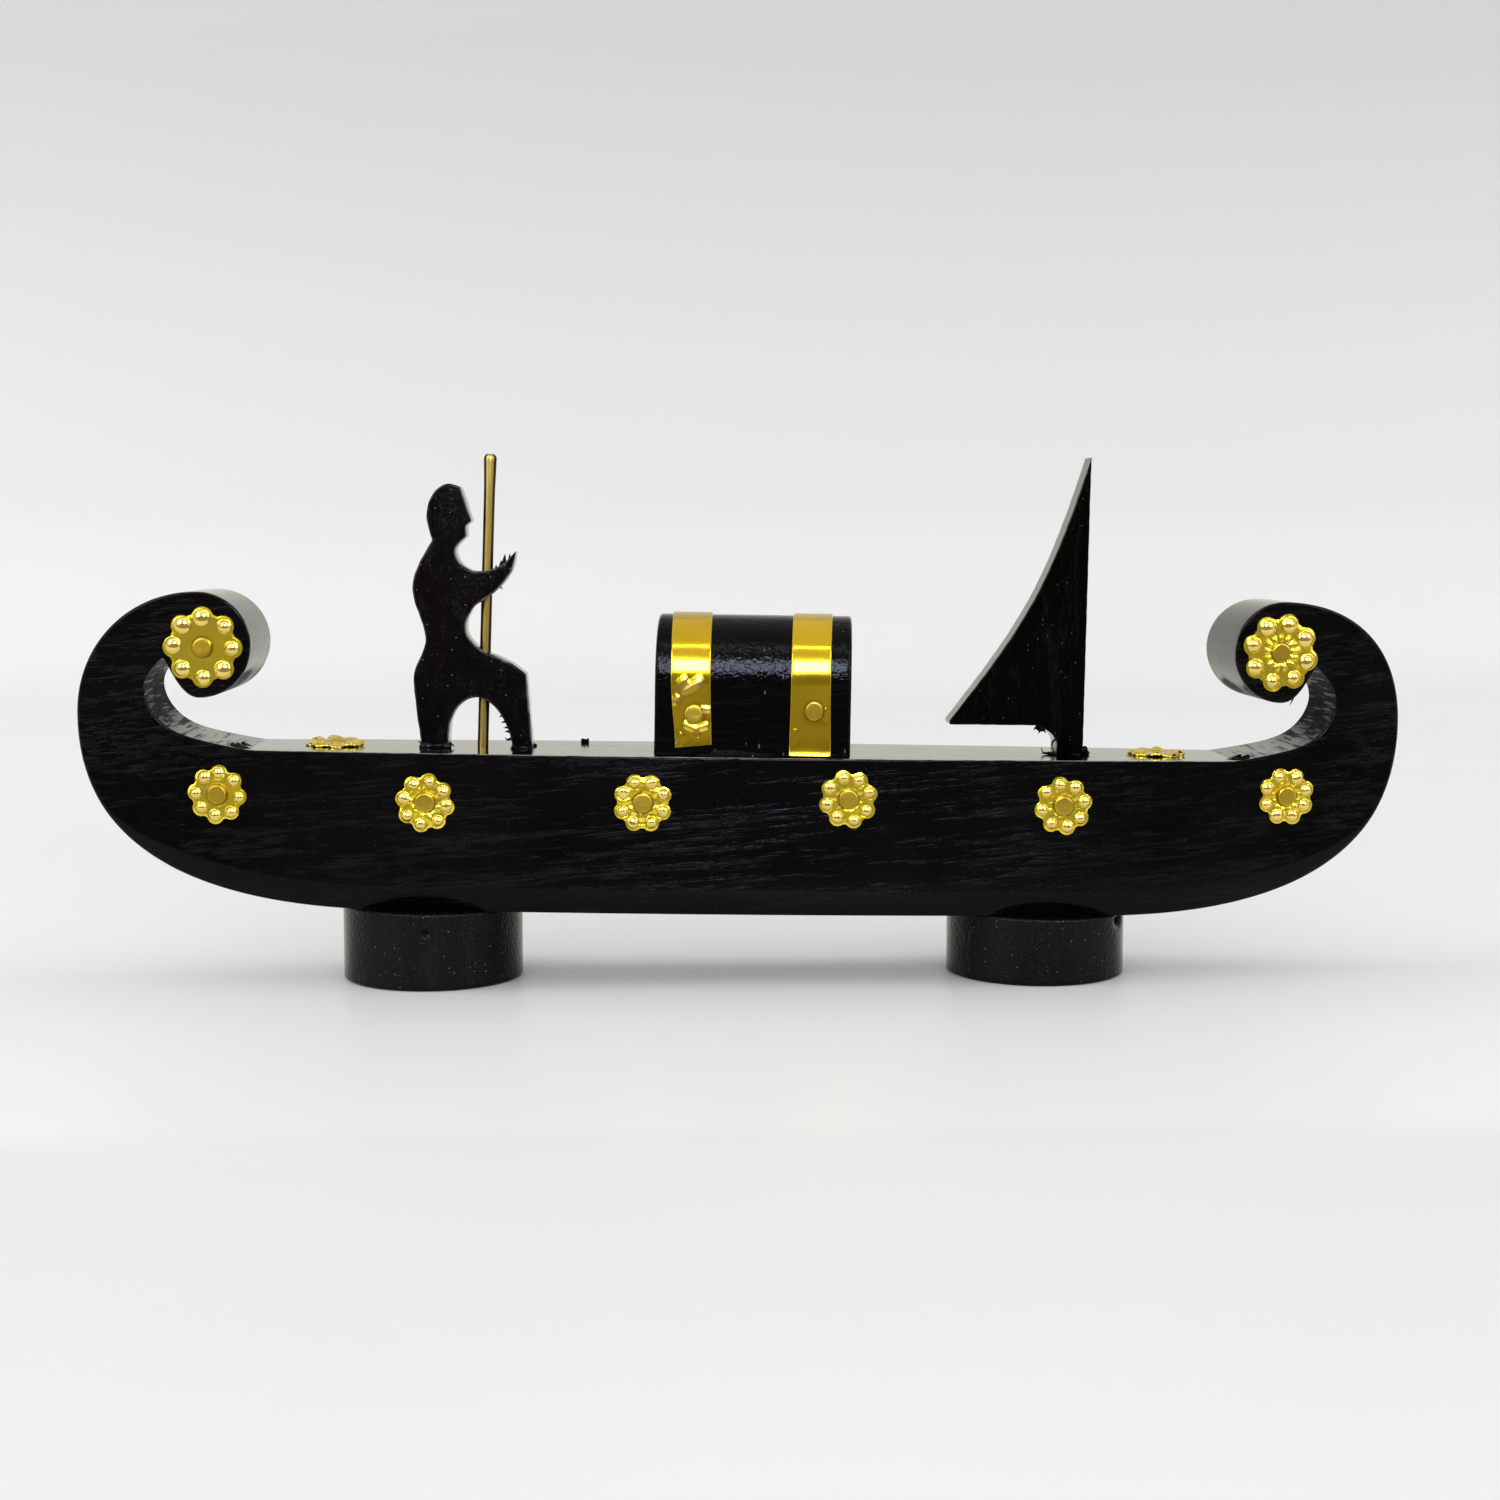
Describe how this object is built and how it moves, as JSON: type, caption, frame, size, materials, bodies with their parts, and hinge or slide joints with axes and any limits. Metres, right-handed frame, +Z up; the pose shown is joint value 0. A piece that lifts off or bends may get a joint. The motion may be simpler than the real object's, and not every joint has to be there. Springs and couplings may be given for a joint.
{
  "type": "incense burner",
  "caption": "Boat-shaped incense stick holder: black lacquered wooden hull with scrolled ends on round feet, boatman with pole, strapped cabin, sail and brass rosettes.",
  "frame": {"origin": "on the table under the middle of the boat, between the two feet", "axes": "+X along the boat to the sail end, -Y to the front, +Z up"},
  "size_m": [0.3004, 0.0412, 0.12],
  "materials": {
    "black_lacquer": "gloss black lacquer",
    "foot_lacquer": "satin brown-black stain",
    "bare_wood": "bare",
    "brass": "bright stamped sheet and wire"
  },
  "bodies": {
    "boat": {"hull": "black_lacquer", "cabin": "black_lacquer", "boatman": "black_lacquer", "sail": "black_lacquer", "deck_peg": "black_lacquer", "foot_dowel_left": "bare_wood", "foot_dowel_right": "bare_wood", "boatman_pins": "bare_wood", "sail_pin": "bare_wood", "rosette_nails": "brass", "strap_nails": "brass", "strap_left": "brass", "strap_right": "brass", "side_rosette_front_1": "brass", "side_rosette_front_2": "brass", "side_rosette_front_3": "brass", "side_rosette_front_4": "brass", "side_rosette_front_5": "brass", "side_rosette_front_6": "brass", "side_rosette_back_1": "brass", "side_rosette_back_2": "brass", "side_rosette_back_3": "brass", "side_rosette_back_4": "brass", "side_rosette_back_5": "brass", "side_rosette_back_6": "brass", "scroll_rosette_front_left": "brass", "scroll_rosette_front_right": "brass", "scroll_rosette_back_left": "brass", "scroll_rosette_back_right": "brass", "deck_rosette_left": "brass", "deck_rosette_right": "brass", "foot_left": "foot_lacquer", "foot_right": "foot_lacquer"},
    "pole": {"pole": "brass"}
  },
  "joints": [
    {"name": "pole_lift", "type": "slide", "parent": "boat", "child": "pole", "axis": [0.0366, 0, 0.9993], "range_m": [0, 0.042]}
  ]
}
